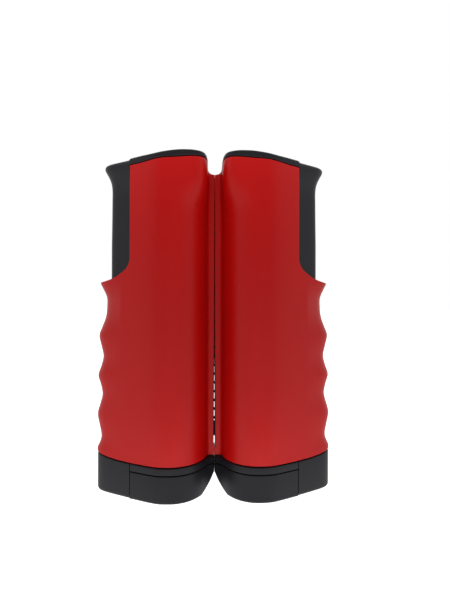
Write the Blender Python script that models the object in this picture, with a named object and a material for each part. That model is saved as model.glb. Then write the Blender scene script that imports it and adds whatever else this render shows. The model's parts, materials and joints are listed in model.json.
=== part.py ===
"""Retractable table-tennis net: two mirrored clamp posts with the net rolled up inside them.

Lengths are in millimetres until the objects are made. Each post is described by u, the distance outward
from the plane where the posts meet, y, the depth with the front at -y, and z, the height above the
underside of the closed clamp. The left post is the mirror image of the right one.
"""

import math

import bmesh
import bpy

MM = 0.001
FIT = 0.3

# Plan section of a post: (u, half depth) from the net slot's neck to the outer nose.
SECTION = [
    (4.4, 4.0),
    (6.4, 9.4),
    (8.5, 13.8),
    (11.0, 17.6),
    (14.5, 20.7),
    (19.0, 22.6),
    (24.0, 23.1),
    (29.5, 22.8),
    (34.0, 21.2),
    (43.2, 16.6),
    (53.2, 11.0),
    (60.5, 6.9),
    (64.2, 4.3),
    (66.2, 2.0),
]
NOSE_U = 66.9
WALL = 2.2
CAVITY_END_U = 59.7
LIP_HALF_DEPTH = 3.4
SLOT_HALF_DEPTH = 0.9
LIP_GAP_TOP = 0.15
LIP_GAP_BOTTOM = 0.75

# Heights of the stack, from the underside up.
JAW_PLANE = 15.3
GROOVE = 0.5
SHELL_BOTTOM = 19.9
JAW_TOP = 19.6
RIM_TOP = 22.5
LIP_TOP = 179.0
CAP_THICKNESS = 4.0

# The shell's sloping top, from the net side out.
SHELL_TOP = [(5.2, 185.2), (6.5, 187.0), (21.0, 184.5), (46.5, 182.6)]
CAP_TOP = [(4.8, 187.6), (6.0, 189.8), (8.0, 190.3), (24.0, 188.7), (46.2, 187.0)]

# The window the slider shows through, down to the hook above the finger grip.
WINDOW_U = 46.5
WINDOW_EDGE = [(46.5, 135.0), (49.5, 128.4), (54.0, 124.0), (58.0, 121.5), (62.0, 119.9), (65.4, 118.7)]
GRIP = [
    (63.9, 115.0),
    (61.9, 110.5),
    (61.7, 106.0),
    (62.6, 99.0),
    (64.7, 92.5),
    (65.9, 87.6),
    (64.9, 82.8),
    (63.8, 78.5),
    (63.8, 74.6),
    (65.0, 70.2),
    (66.4, 65.3),
    (65.4, 60.3),
    (64.4, 56.4),
    (64.4, 52.4),
    (65.4, 48.6),
    (66.6, 43.0),
    (65.6, 36.6),
    (64.8, 32.6),
    (64.8, 28.4),
    (66.0, 24.6),
    (66.9, 22.0),
]

# Slider: the channel-shaped column, the thumb flange on top and the foot below.
CLAMP_TRAVEL = 44.0
COLUMN_U = (46.9, 58.9)
COLUMN_HALF_DEPTH = (11.2, 4.6)
COLUMN_WALL = 2.0
COLUMN_TOP = 182.0
FLANGE_INSET = 0.6
FLANGE = [
    (46.9, 181.2),
    (49.5, 174.6),
    (54.0, 170.6),
    (58.9, 169.8),
    (59.0, 173.6),
    (59.8, 177.4),
    (61.6, 180.8),
    (62.5, 183.4),
    (61.8, 184.9),
    (58.0, 185.7),
    (46.9, 186.6),
]
FOOT_U = 46.6
FOOT_TOP = 19.5
TONGUE = {"u": (30.0, 48.0), "half_depth": 8.0, "z": (5.0, 9.0)}
SPRING_TAB = {"u": (39.4, 57.5), "half_depth": 3.3, "z": (113.0, 119.0)}

# Jaws and their pads.
JAW_OUTER_U = 46.2
BOW = [(0.6, 14.8), (0.4, 9.5), (2.3, 5.4), (4.5, 2.0), (6.8, 0.0)]
PAD_U = (8.0, 44.0)
PAD_INSET = 3.0
PAD_THICKNESS = 1.9

# Roller, its fixed shaft, and the net wound on it.
ROLLER_U = 24.0
SHAFT_R = 2.0
SHAFT_Z = (17.0, 181.0)
TUBE_R = (6.6, 8.0)
TUBE_Z = (25.8, 174.0)
PLUG_R = 6.3
PLUG_FLANGE_R = 9.0
PLUG_DEPTH = 7.0
NET_Z = (30.3, 167.8)
ROLL_R = (8.3, 13.4)
NET_HALF_THICKNESS = 0.25
NET_BEND_U = 7.2
NET_LEAVES_ROLL = (12.9, 8.2)

# Springs.
ROD_U = 42.7
ROD_R = 1.5
ROD_Z = (17.5, 150.0)
CLAMP_SPRING = {"radius": 2.9, "wire": 0.5, "z": (23.2, 112.3), "turns": 11}
RETURN_SPRING = {"radius": 4.2, "wire": 0.45, "z": (36.0, 96.0), "turns": 7}

# Screws: (u, z) through the back shell, (u, y) up through the upper jaw and the lower jaw.
SHELL_SCREWS = [(10.4, 26.0), (36.1, 26.0), (10.4, 173.6), (36.1, 173.6)]
SHELL_BOSS_R = 2.6
JAW_SCREWS = [(24.0, -17.4), (24.0, 17.4)]
JAW_BOSS_R = 3.7
JAW_BOSS_Z = (19.9, 29.0)
FOOT_SCREWS = [(34.5, 0.0), (42.5, 0.0)]
SCREW_SHANK_R = 1.2
SCREW_HEAD_R = 2.3
SCREW_HEAD_H = 1.2
SCREW_SINK = 4.0
JAW_SCREW_SEAT = 18.6

MATERIALS = {
    "red_shell": ((0.41, 0.016, 0.015), 0.0, 0.42),
    "black_plastic": ((0.028, 0.027, 0.029), 0.0, 0.5),
    "rubber_pad": ((0.045, 0.045, 0.047), 0.0, 0.85),
    "roller_plastic": ((0.33, 0.33, 0.34), 0.0, 0.5),
    "bright_steel": ((0.55, 0.55, 0.56), 1.0, 0.3),
    "spring_steel": ((0.36, 0.36, 0.38), 1.0, 0.35),
    "black_screw": ((0.06, 0.06, 0.065), 1.0, 0.45),
    "net_cloth": ((0.02, 0.021, 0.024), 0.0, 0.9),
}


def joined(*solids):
    """One mesh, as (points, faces), from several."""
    points, faces = [], []
    for solid_points, solid_faces in solids:
        start = len(points)
        points += solid_points
        faces += [[start + i for i in face] for face in solid_faces]
    return points, faces


def prism(outline, axis, low, high):
    """A closed outline pushed along z (outline in u, y) or along y (outline in u, z)."""
    place = {"z": lambda p, h: (p[0], p[1], h), "y": lambda p, h: (p[0], h, p[1])}[axis]
    count = len(outline)
    points = [place(p, low) for p in outline] + [place(p, high) for p in outline]
    faces = [[i, (i + 1) % count, count + (i + 1) % count, count + i] for i in range(count)]
    return points, faces + [list(range(count))[::-1], list(range(count, 2 * count))]


def box(u, y, z):
    """A box from its low and high u, y and z."""
    return prism([(u[0], y[0]), (u[1], y[0]), (u[1], y[1]), (u[0], y[1])], "z", *z)


def turned(profile, centre, axis="z", sides=20):
    """A profile of (radius, height) turned about a line along z or y. A profile whose last point is its
    first makes a ring, and any other is closed with a flat face at each end."""
    ring = profile[0] == profile[-1]
    levels = profile[:-1] if ring else profile
    angles = [math.tau * (i + 0.5) / sides for i in range(sides)]
    points = []
    for radius, height in levels:
        for angle in angles:
            a = centre[0] + radius * math.cos(angle)
            b = centre[1] + radius * math.sin(angle)
            points.append((a, b, height) if axis == "z" else (a, height, b))
    faces = []
    for level in range(len(levels) if ring else len(levels) - 1):
        low = level * sides
        high = (level + 1) % len(levels) * sides
        faces += [[low + i, low + (i + 1) % sides, high + (i + 1) % sides, high + i] for i in range(sides)]
    if not ring:
        last = (len(levels) - 1) * sides
        faces += [list(range(sides))[::-1], list(range(last, last + sides))]
    return points, faces


def rod(centre, radius, low, high, axis="z", sides=20):
    """A plain round bar."""
    return turned([(radius, low), (radius, high)], centre, axis, sides)


def coil(centre, spring, steps=8, sides=4):
    """A helical spring about a line along z, with flat wire ends."""
    low, high = spring["z"]
    count = spring["turns"] * steps
    points, faces = [], []
    for step in range(count + 1):
        angle = math.tau * step / steps
        height = low + (high - low) * step / count
        for side in range(sides):
            turn = math.tau * side / sides
            reach = spring["radius"] + spring["wire"] * math.cos(turn)
            rise = spring["wire"] * math.sin(turn)
            across, back = reach * math.cos(angle), reach * math.sin(angle)
            points.append((centre[0] + across, centre[1] + back, height + rise))
    for step in range(count):
        for side in range(sides):
            near, far = step * sides, (step + 1) * sides
            after = (side + 1) % sides
            faces.append([near + side, near + after, far + after, far + side])
    faces += [list(range(sides))[::-1], list(range(count * sides, (count + 1) * sides))]
    return points, faces


def pulled_in(outline, distance):
    """A closed outline moved inward by distance, corner by corner. It must run anticlockwise."""
    moved = []
    for i, (x, y) in enumerate(outline):
        before, after = outline[i - 1], outline[(i + 1) % len(outline)]
        edge_in = (x - before[0], y - before[1])
        edge_out = (after[0] - x, after[1] - y)
        size_in, size_out = math.hypot(*edge_in), math.hypot(*edge_out)
        normal_in = (-edge_in[1] / size_in, edge_in[0] / size_in)
        normal_out = (-edge_out[1] / size_out, edge_out[0] / size_out)
        spread = 1 + normal_in[0] * normal_out[0] + normal_in[1] * normal_out[1]
        moved.append(
            (
                x + distance * (normal_in[0] + normal_out[0]) / spread,
                y + distance * (normal_in[1] + normal_out[1]) / spread,
            )
        )
    return moved


def body_outline(inset=0.0):
    """The post's closed plan section, without the lips."""
    back = [(u, depth) for u, depth in SECTION]
    front = [(u, -depth) for u, depth in SECTION]
    return pulled_in(front + [(NOSE_U, 0.0)] + back[::-1], inset)


def clipped_outline(low, high, inset=0.0):
    """The plan section between two u values, closed straight across at both."""
    half = sorted((u, y) for u, y in body_outline(inset) if y > 0)
    inside = [(u, y) for u, y in half if low < u < high]
    back = [(low, half_depth(half, low)), *inside, (high, half_depth(half, high))]
    return [(u, -y) for u, y in back] + back[::-1]


def half_depth(half, u):
    """Half depth at u, read off a sorted list of (u, half depth)."""
    if u <= half[0][0]:
        return half[0][1]
    if u >= half[-1][0]:
        return half[-1][1]
    for (u0, y0), (u1, y1) in zip(half, half[1:]):
        if u0 <= u <= u1:
            return y0 + (y1 - y0) * (u - u0) / (u1 - u0)
    raise ValueError(f"{u} is outside the section")


def made(name, solid, side, material):
    """A Blender object from a mesh in post coordinates, with its origin on the roller's axis."""
    points, faces = solid
    mesh = bpy.data.meshes.new(name)
    mesh.from_pydata([(side * (u - ROLLER_U) * MM, y * MM, z * MM) for u, y, z in points], [], faces)
    shape = bmesh.new()
    shape.from_mesh(mesh)
    bmesh.ops.recalc_face_normals(shape, faces=shape.faces)
    shape.to_mesh(mesh)
    shape.free()
    mesh.materials.append(material)
    item = bpy.data.objects.new(name, mesh)
    item.location = (side * ROLLER_U * MM, 0.0, 0.0)
    bpy.context.collection.objects.link(item)
    return item


def combine_objects(item, tool, operation):
    """Boolean one object into another: UNION, DIFFERENCE or INTERSECT. The tool is then removed."""
    modifier = item.modifiers.new("combine", "BOOLEAN")
    modifier.operation = operation
    modifier.solver = "EXACT"
    modifier.object = tool
    with bpy.context.temp_override(object=item):
        bpy.ops.object.modifier_apply(modifier=modifier.name)
    bpy.data.objects.remove(tool)


def combine(item, solid, side, operation):
    """Boolean a solid in post coordinates into an object."""
    combine_objects(item, made("tool", solid, side, item.data.materials[0]), operation)


def half_shell_outline(facing):
    """Plan of one half shell: a C from the net lip round to the outer nose. facing is -1 for the front."""
    outer = [(LIP_GAP_TOP, LIP_HALF_DEPTH), (3.6, LIP_HALF_DEPTH), *SECTION, (NOSE_U - 0.05, FIT / 2)]
    half = sorted((u, y) for u, y in body_outline(WALL) if y > SLOT_HALF_DEPTH)
    nose = [(CAVITY_END_U, half_depth(half, CAVITY_END_U)), (CAVITY_END_U, FIT / 2)]
    inner = [(half[0][0], SLOT_HALF_DEPTH), *[p for p in half if p[0] < CAVITY_END_U], *nose]
    loop = outer + inner[::-1] + [(LIP_GAP_TOP, SLOT_HALF_DEPTH)]
    return [(u, facing * y) for u, y in loop]


def shell_side_outline():
    """The shell seen from the front: lips, sloping top, window, hook and finger grip."""
    lip = [(LIP_GAP_BOTTOM, SHELL_BOTTOM), (LIP_GAP_TOP, LIP_TOP), (1.2, 180.3), (3.0, 180.9), (4.4, 182.4)]
    return lip + SHELL_TOP + WINDOW_EDGE + GRIP + [(NOSE_U + 1, 22.0), (NOSE_U + 1, SHELL_BOTTOM)]


def shell(name, side, facing, material):
    """One half of the red housing, with the bosses its screws run in."""
    item = made(name, prism(half_shell_outline(facing), "z", SHELL_BOTTOM, 190.0), side, material)
    combine(item, prism(shell_side_outline(), "y", -30.0, 30.0), side, "INTERSECT")
    reach = sorted([facing * FIT / 2, facing * 22.0])
    bosses = [rod(spot, SHELL_BOSS_R, *reach, axis="y", sides=14) for spot in SHELL_SCREWS]
    inside = prism(body_outline(WALL / 2), "z", SHELL_BOTTOM - 1, 200.0)
    posts = made("posts", joined(*bosses), side, material)
    combine(posts, inside, side, "INTERSECT")
    combine_objects(item, posts, "UNION")
    spot = JAW_SCREWS[0] if facing < 0 else JAW_SCREWS[1]
    combine(item, rod(spot, JAW_BOSS_R, *JAW_BOSS_Z, sides=14), side, "UNION")
    combine(item, rod(spot, SCREW_SHANK_R + FIT / 2, 10.0, 27.0, sides=12), side, "DIFFERENCE")
    combine(item, joined(*[shell_screw_hole(u, z, facing) for u, z in SHELL_SCREWS]), side, "DIFFERENCE")
    return item


def shell_screw_seat(u):
    """Depth of the seat a back screw's head stands on, sunk below the back shell's outer face at u."""
    return half_depth(SECTION, u) - SCREW_SINK


def shell_screw_hole(u, z, facing):
    """A blind hole in the front shell, or a stepped hole out through the back shell."""
    shank, head = SCREW_SHANK_R + FIT / 2, SCREW_HEAD_R + FIT / 2
    if facing < 0:
        return rod((u, z), shank, -9.0, 1.0, axis="y", sides=12)
    seat = shell_screw_seat(u)
    return turned([(shank, -1.0), (shank, seat), (head, seat), (head, 30.0)], (u, z), axis="y", sides=12)


def screw(centre, axis, seat, tip, out):
    """A pan-head screw: its head stands on seat, out is the head's direction, tip is the shank's end."""
    head = seat + out * SCREW_HEAD_H
    profile = [(SCREW_SHANK_R, tip), (SCREW_SHANK_R, seat), (SCREW_HEAD_R, seat), (SCREW_HEAD_R, head)]
    return turned(profile, centre, axis, sides=10)


def top_cap(name, side, material):
    """The sloping black cap, with a collar inside the shell and a socket for the roller's shaft."""
    under = [(u, z + FIT) for u, z in SHELL_TOP if u < JAW_OUTER_U]
    under.append((JAW_OUTER_U, half_depth(SHELL_TOP, JAW_OUTER_U) + FIT))
    item = made(name, prism(clipped_outline(SECTION[0][0], JAW_OUTER_U), "z", 180.0, 195.0), side, material)
    combine(item, prism(CAP_TOP + under[::-1], "y", -30.0, 30.0), side, "INTERSECT")
    socket = turned(
        [(SHAFT_R + 0.1, 177.5), (4.4, 177.5), (4.4, 186.5), (SHAFT_R + 0.1, 186.5), (SHAFT_R + 0.1, 177.5)],
        (ROLLER_U, 0.0),
    )
    combine(item, socket, side, "UNION")
    collar = clipped_outline(8.5, JAW_OUTER_U - 2.0, WALL + FIT)
    rim = made("rim", prism(collar, "z", 180.2, 186.2), side, material)
    combine(rim, prism(pulled_in(collar, 1.6), "z", 170.0, 190.0), side, "DIFFERENCE")
    combine(rim, prism([(0.0, 170.0), (60.0, 170.0), *CAP_TOP[::-1]], "y", -30.0, 30.0), side, "INTERSECT")
    combine(rim, box((0.0, 60.0), (-1.5, 1.5), (170.0, 183.0)), side, "DIFFERENCE")
    combine_objects(item, rim, "UNION")
    return item


def upper_jaw(name, side, material):
    """The fixed jaw that closes the housing's underside and carries the shaft and the spring rod."""
    plate = prism(clipped_outline(SECTION[0][0], JAW_OUTER_U), "z", JAW_PLANE + GROOVE, JAW_TOP)
    item = made(name, plate, side, material)
    combine(item, box((0.6, 6.0), (-4.0, 4.0), (JAW_PLANE + GROOVE, JAW_TOP)), side, "UNION")
    combine(item, prism(clipped_outline(9.0, 45.0, WALL + FIT), "z", 18.0, RIM_TOP), side, "UNION")
    bosses = [rod(spot, JAW_BOSS_R + FIT, JAW_TOP, 40.0) for spot in JAW_SCREWS]
    combine(item, joined(*bosses), side, "DIFFERENCE")
    pad = clipped_outline(PAD_U[0] - FIT, PAD_U[1] + FIT, PAD_INSET - FIT)
    combine(item, prism(pad, "z", 10.0, JAW_PLANE + PAD_THICKNESS), side, "DIFFERENCE")
    head, shank = SCREW_HEAD_R + FIT, SCREW_SHANK_R + FIT / 2
    seat = JAW_SCREW_SEAT + 0.1
    step = [(head, 10.0), (head, seat), (shank, seat), (shank, 24.0)]
    holes = [turned(step, spot, sides=12) for spot in JAW_SCREWS]
    holes.append(rod((ROD_U, 0.0), ROD_R + 0.1, ROD_Z[0] - 0.1, 30.0, sides=12))
    holes.append(rod((ROLLER_U, 0.0), SHAFT_R + 0.1, 18.0, 30.0))
    combine(item, joined(*holes), side, "DIFFERENCE")
    return item


def lower_jaw(name, side, material):
    """The moving jaw: a bow at the net side, a pad seat on top and a pocket for the slider's tongue."""
    plan = clipped_outline(SECTION[0][0], JAW_OUTER_U)
    item = made(name, prism(plan, "z", 0.0, JAW_PLANE - GROOVE), side, material)
    combine(item, box((0.3, 6.0), (-4.0, 4.0), (1.0, JAW_PLANE - GROOVE)), side, "UNION")
    keep = BOW + [(60.0, 0.0), (60.0, JAW_PLANE - GROOVE)]
    combine(item, prism(keep, "y", -30.0, 30.0), side, "INTERSECT")
    pad = clipped_outline(PAD_U[0] - FIT, PAD_U[1] + FIT, PAD_INSET - FIT)
    combine(item, prism(pad, "z", JAW_PLANE - PAD_THICKNESS, 20.0), side, "DIFFERENCE")
    depth = TONGUE["half_depth"] + FIT
    pocket = box((TONGUE["u"][0] - FIT, 50.0), (-depth, depth), (TONGUE["z"][0] - FIT, TONGUE["z"][1] + FIT))
    combine(item, pocket, side, "DIFFERENCE")
    head, shank = SCREW_HEAD_R + FIT, SCREW_SHANK_R + FIT / 2
    holes = [turned([(head, -1.0), (head, 2.2), (shank, 2.2), (shank, 6.0)], s, sides=12) for s in FOOT_SCREWS]
    combine(item, joined(*holes), side, "DIFFERENCE")
    return item


def column_outline(inset):
    """Plan of the slider's column, open toward the roller when inset is used as its hollow."""
    (low, high), (wide, narrow) = COLUMN_U, COLUMN_HALF_DEPTH
    start = low - 5.0 if inset else low
    slope = (narrow - wide) / (high - low)
    wide_in = wide + slope * (start - low) - inset if inset else wide
    end, narrow_in = high - inset, narrow - inset
    return [(start, -wide_in), (end, -narrow_in), (end, narrow_in), (start, wide_in)]


def slider(name, side, material):
    """The black clamp slider: thumb flange, channel column, spring tab, foot and tongue in one moulding."""
    item = made(name, prism(column_outline(0.0), "z", 2.0, COLUMN_TOP), side, material)
    combine(item, prism(column_outline(COLUMN_WALL), "z", FOOT_TOP, 168.0), side, "DIFFERENCE")
    plan = clipped_outline(COLUMN_U[0], 66.0, FLANGE_INSET)
    flange = made("flange", prism(plan, "z", 160.0, 190.0), side, material)
    combine(flange, prism(FLANGE, "y", -30.0, 30.0), side, "INTERSECT")
    combine_objects(item, flange, "UNION")
    foot = clipped_outline(FOOT_U, NOSE_U - 0.1)
    combine(item, prism(foot, "z", 0.0, FOOT_TOP), side, "UNION")
    depth = TONGUE["half_depth"]
    combine(item, box(TONGUE["u"], (-depth, depth), TONGUE["z"]), side, "UNION")
    depth = SPRING_TAB["half_depth"]
    combine(item, box(SPRING_TAB["u"], (-depth, depth), SPRING_TAB["z"]), side, "UNION")
    holes = [rod(spot, SCREW_SHANK_R + FIT / 2, 0.0, 12.0, sides=12) for spot in FOOT_SCREWS]
    holes.append(rod((ROD_U, 0.0), ROD_R + FIT, 100.0, 130.0, sides=14))
    combine(item, joined(*holes), side, "DIFFERENCE")
    return item


def pad(name, side, low, high, material):
    """A flat rubber pad let into a jaw."""
    return made(name, prism(clipped_outline(*PAD_U, PAD_INSET), "z", low, high), side, material)


def roller_plug(end, into):
    """A flanged bearing plug pushed into the tube. into is +1 when it points up into the tube."""
    bore = SHAFT_R + 0.1
    profile = [
        (bore, end - into * 1.5),
        (PLUG_FLANGE_R, end - into * 1.5),
        (PLUG_FLANGE_R, end - into * FIT),
        (PLUG_R, end - into * FIT),
        (PLUG_R, end + into * PLUG_DEPTH),
        (bore, end + into * PLUG_DEPTH),
        (bore, end - into * 1.5),
    ]
    return turned(profile, (ROLLER_U, 0.0))


def tube(radii, heights):
    """A plain tube about the roller's axis."""
    (inner, outer), (low, high) = radii, heights
    loop = [(inner, low), (outer, low), (outer, high), (inner, high), (inner, low)]
    return turned(loop, (ROLLER_U, 0.0), sides=24)


def net_span():
    """The short run of net from one roll, through both slots, to the other roll."""
    u, y = NET_LEAVES_ROLL
    t = NET_HALF_THICKNESS
    above = [(-u, y + t), (-NET_BEND_U, t), (NET_BEND_U, t), (u, y + t)]
    below = [(u, y - t), (NET_BEND_U, -t), (-NET_BEND_U, -t), (-u, y - t)]
    return prism(above + below, "z", *NET_Z)


def post(label, side, material):
    """All the pieces of one post. side is -1 for the left post."""
    axis = (ROLLER_U, 0.0)
    shell(f"{label}_front_shell", side, -1, material["red_shell"])
    shell(f"{label}_back_shell", side, 1, material["red_shell"])
    top_cap(f"{label}_top_cap", side, material["black_plastic"])
    upper_jaw(f"{label}_upper_jaw", side, material["black_plastic"])
    lower_jaw(f"{label}_lower_jaw", side, material["black_plastic"])
    slider(f"{label}_slider", side, material["black_plastic"])
    seam = FIT / 2
    upper = (JAW_PLANE + seam, JAW_PLANE + PAD_THICKNESS - FIT)
    lower = (JAW_PLANE - PAD_THICKNESS + FIT, JAW_PLANE - seam)
    pad(f"{label}_upper_pad", side, *upper, material["rubber_pad"])
    pad(f"{label}_lower_pad", side, *lower, material["rubber_pad"])
    steel = material["bright_steel"]
    made(f"{label}_roller_shaft", rod(axis, SHAFT_R, SHAFT_Z[0] + 1.1, SHAFT_Z[1]), side, steel)
    made(f"{label}_spring_rod", rod((ROD_U, 0.0), ROD_R, *ROD_Z, sides=14), side, steel)
    made(f"{label}_clamp_spring", coil((ROD_U, 0.0), CLAMP_SPRING), side, material["spring_steel"])
    made(f"{label}_return_spring", coil(axis, RETURN_SPRING), side, material["spring_steel"])
    made(f"{label}_roller_tube", tube(TUBE_R, TUBE_Z), side, material["roller_plastic"])
    made(f"{label}_roller_foot_plug", roller_plug(TUBE_Z[0], 1), side, material["roller_plastic"])
    made(f"{label}_roller_head_plug", roller_plug(TUBE_Z[1], -1), side, material["roller_plastic"])
    made(f"{label}_net_roll", tube(ROLL_R, NET_Z), side, material["net_cloth"])
    black = material["black_screw"]
    for number, (u, z) in enumerate(SHELL_SCREWS, 1):
        seat = shell_screw_seat(u) + 0.1
        made(f"{label}_shell_screw_{number}", screw((u, z), "y", seat, -7.0, 1), side, black)
    for number, spot in enumerate(JAW_SCREWS, 1):
        made(f"{label}_jaw_screw_{number}", screw(spot, "z", JAW_SCREW_SEAT, 26.0, -1), side, black)
    for number, spot in enumerate(FOOT_SCREWS, 1):
        made(f"{label}_foot_screw_{number}", screw(spot, "z", 2.1, 8.5, -1), side, black)


def surfaces():
    """The Principled materials, by name."""
    made_so_far = {}
    for name, (colour, metallic, roughness) in MATERIALS.items():
        material = bpy.data.materials.new(name)
        material.use_nodes = True
        shader = material.node_tree.nodes["Principled BSDF"]
        shader.inputs["Base Color"].default_value = (*colour, 1.0)
        shader.inputs["Metallic"].default_value = metallic
        shader.inputs["Roughness"].default_value = roughness
        made_so_far[name] = material
    return made_so_far


def main():
    for item in list(bpy.data.objects):
        bpy.data.objects.remove(item)
    material = surfaces()
    post("left", -1, material)
    post("right", 1, material)
    made("net_span", net_span(), 1, material["net_cloth"])


main()
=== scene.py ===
"""Looks for the retractable table-tennis net: moulded housings, clamps, springs, rolled net and studio.

Shapes are worked out in millimetres in each post's own coordinates: u outward from the plane where the posts
meet, y with the front at -y, and z up from the underside of the closed clamps. They are placed in metres.
"""

import json
import math

import bmesh
import bpy
from mathutils import Matrix, Vector

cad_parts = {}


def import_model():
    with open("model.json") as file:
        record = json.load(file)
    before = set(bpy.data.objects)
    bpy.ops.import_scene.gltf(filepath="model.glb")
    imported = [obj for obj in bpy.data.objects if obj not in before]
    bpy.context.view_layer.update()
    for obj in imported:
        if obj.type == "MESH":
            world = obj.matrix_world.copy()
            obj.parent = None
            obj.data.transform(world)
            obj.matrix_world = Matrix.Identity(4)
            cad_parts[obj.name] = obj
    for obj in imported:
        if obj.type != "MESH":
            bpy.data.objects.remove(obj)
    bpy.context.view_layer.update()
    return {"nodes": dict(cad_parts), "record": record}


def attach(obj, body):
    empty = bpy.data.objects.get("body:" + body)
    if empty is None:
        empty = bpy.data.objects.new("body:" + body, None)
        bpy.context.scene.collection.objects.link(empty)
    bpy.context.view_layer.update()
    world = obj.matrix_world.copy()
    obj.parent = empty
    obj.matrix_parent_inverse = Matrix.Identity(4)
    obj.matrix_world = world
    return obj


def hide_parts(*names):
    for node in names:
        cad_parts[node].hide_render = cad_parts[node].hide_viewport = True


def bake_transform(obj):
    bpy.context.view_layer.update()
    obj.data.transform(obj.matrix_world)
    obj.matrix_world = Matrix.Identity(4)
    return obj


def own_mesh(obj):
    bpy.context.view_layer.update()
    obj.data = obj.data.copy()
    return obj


MM = 0.001
SIDES = {"left": -1, "right": 1}

# Faces that meet at more than this many degrees keep a sharp edge in the shading.
SHARP_ANGLE = 35.0

# Plan section of a post: an ellipse about the roller on the net side, then a taper to the outer nose as
# (u, half depth). Outward of MORPH_U the taper stretches to follow the grip.
ROLLER_U = 24.0
ROUND_U = 20.0
ROUND_Y = 23.1
OUTER_SIDE = [
    (24.0, 23.1),
    (29.5, 22.7),
    (34.5, 21.0),
    (43.2, 16.6),
    (53.2, 11.1),
    (60.5, 6.9),
    (64.2, 4.3),
    (66.2, 2.0),
    (66.9, 0.15),
]
NOSE_U = 66.9
MORPH_U = 52.0
WALL = 2.2
EDGE_ROUND = 0.4
EDGE_ANGLE = 55.0

# The lips either side of the net's slot: straight as far as LIP_BEND_U, then bending past a corner to join
# the ellipse at half depth LIP_JOIN_Y. The gaps are (z, how far the tip stands off the plane where the posts
# meet), down to WEB_TOP, where a web closes the slot. Each half stops PARTING short of the middle plane.
LIP_HALF_DEPTH = 3.4
LIP_BEND_U = 2.2
LIP_CORNER_U = ROLLER_U - ROUND_U + 0.3
LIP_JOIN_Y = 5.8
LIP_BEND_STEPS = 8
LIP_GAP_FRONT = [(24.0, 0.65), (60.0, 0.6), (90.0, 0.35), (165.0, 0.2), (178.0, 0.05)]
LIP_GAP_BACK = [
    (24.0, 0.33),
    (40.0, 0.2),
    (61.0, 0.12),
    (66.0, 0.08),
    (72.0, 0.03),
    (76.0, 0.005),
    (180.0, 0.005),
]
WEB_TOP = 24.4
WEB_GAP = 0.04
PARTING = 0.15

# Near the cap the net side's corner gets squarer over CORNER_Z, and a notch between the posts cuts the lips
# away: (z, how far a row has gone from the lips at 0 to the closed end of the section at 1).
CORNER_Z = (158.0, 181.0)
TOP_POWER = 6.0
NOTCH_LINE = [(181.1, 0.0), (181.4, 0.2), (181.9, 0.43), (182.6, 0.65), (183.7, 0.87), (184.6, 1.0)]

# The housing's sloping top edge, as (u, z).
SHELL_TOP = [
    (3.0, 183.8),
    (4.0, 184.3),
    (5.2, 184.9),
    (6.5, 185.2),
    (10.0, 185.3),
    (15.0, 185.1),
    (21.0, 184.6),
    (28.0, 184.2),
    (35.0, 183.3),
    (40.0, 182.6),
    (46.8, 182.1),
]

# The window's edge, as (z, u), from the hook above the finger grip up to where it runs straight.
WINDOW_EDGE = [
    (118.7, 65.4),
    (119.35, 62.0),
    (120.5, 58.0),
    (122.25, 54.0),
    (125.4, 49.5),
    (128.0, 47.5),
    (131.0, 46.5),
]
HOOK_Z = 118.7

# The nose's line down the finger grip, as (z, u).
GRIP = [
    (19.0, 66.9),
    (22.5, 67.0),
    (30.5, 64.9),
    (37.0, 65.9),
    (43.6, 67.0),
    (50.0, 65.4),
    (54.9, 64.3),
    (60.5, 65.3),
    (65.7, 66.7),
    (71.2, 65.0),
    (76.7, 63.8),
    (82.6, 65.0),
    (88.6, 66.2),
    (93.5, 64.5),
    (99.5, 62.4),
    (106.0, 61.7),
    (110.5, 61.9),
    (115.0, 63.9),
    (118.0, 65.4),
    (119.0, 65.6),
    (200.0, 65.6),
]

# The cap's upper face, as (u, z), the shadow gap under its edge, and its span in u. From here on, edges are
# the radii of a solid's lower and upper edge, and lines are (low u, high u, inset) within the plan section.
CAP_TOP = [
    (4.05, 186.9),
    (4.6, 187.8),
    (5.8, 188.4),
    (8.4, 188.7),
    (13.0, 189.05),
    (19.0, 189.0),
    (24.0, 188.5),
    (33.0, 187.2),
    (40.0, 186.7),
    (46.8, 186.2),
]
CAP_GAP = 0.55
CAP_U = (4.05, 46.75)
CAP_EDGES = (0.45, 1.2)
CAP_COLLAR = {"line": (8.5, 44.2, 2.6), "bottom": 180.2, "over": 1.2, "edges": (0.1, 0.1)}
CAP_HOLLOW = {"line": (10.2, 42.6, 4.2), "bottom": 170.0, "over": 0.3, "edges": (0.1, 0.1)}
SOCKET_R = 4.4
SOCKET_Z = (177.5, 186.5)

# The roller's shaft, with the heights of the bores that take its two ends.
SHAFT_R = 2.0
SHAFT_HEAD_Z = (170.0, 181.4)
SHAFT_FOOT_Z = (16.9, 30.0)
BORE_PLAY = 0.1

# The jaws meet at JAW_PLANE, each GROOVE short of it round the edge. JAW_TIP is where the lower and the upper
# one end on the net side, and BOW is the lower one's underside, as (u, z).
JAW_OUTER_U = 46.2
JAW_TIP = (0.04, 0.05)
JAW_TIP_ROUND = [(0.0, 3.1), (0.5, 4.0)]
JAW_NOSE = [(2.0, 5.0), (4.2, 7.2), (6.6, 11.4)]
JAW_NOSE_ENDS = 7.0
JAW_PLANE = 15.3
GROOVE = 0.28
JAW_TOP = 19.4
UPPER_JAW_EDGES = (0.3, 0.55)
INNER_END_U = 60.0
RIM_LINE = (9.0, 45.0, 2.6)
RIM_Z = (18.0, 22.4)
RIM_EDGES = (0.1, 0.3)
BOW = [(0.3, 9.7), (2.3, 5.4), (4.5, 2.0), (6.8, 0.0), (9.0, 0.0), (70.0, 0.0)]
BOW_EDGES = (1.8, 0.3)
BOW_EASE = 8.0

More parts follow.
